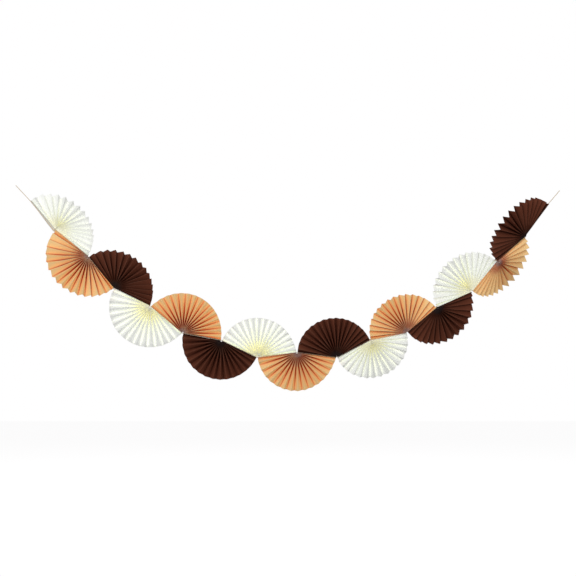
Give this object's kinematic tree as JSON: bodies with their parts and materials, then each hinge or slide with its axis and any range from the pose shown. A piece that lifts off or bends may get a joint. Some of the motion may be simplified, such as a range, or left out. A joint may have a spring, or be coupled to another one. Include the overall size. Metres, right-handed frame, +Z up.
{
  "type": "paper fan garland",
  "caption": "Garland of half-round pleated paper fans in cream, peach and brown, glued edge to edge in a wave along a thin hanging cord.",
  "frame": {"origin": "left end of the hanging cord", "axes": "+X along the span to the right, +Y away from the viewer, +Z up"},
  "size_m": [1.3748, 0.1473, 0.5201],
  "materials": {
    "cream_paper": "matte",
    "peach_paper": "matte",
    "brown_paper": "matte",
    "cotton_cord": "matte"
  },
  "bodies": {
    "root": {"fan_01_cream": "cream_paper", "fan_02_peach": "peach_paper", "fan_03_brown": "brown_paper", "fan_04_cream": "cream_paper", "fan_05_peach": "peach_paper", "fan_06_brown": "brown_paper", "fan_07_cream": "cream_paper", "fan_08_peach": "peach_paper", "fan_09_brown": "brown_paper", "fan_10_cream": "cream_paper", "fan_11_peach": "peach_paper", "fan_12_brown": "brown_paper", "fan_13_cream": "cream_paper", "fan_14_peach": "peach_paper", "fan_15_brown": "brown_paper", "hanging_cord": "cotton_cord"}
  },
  "joints": []
}
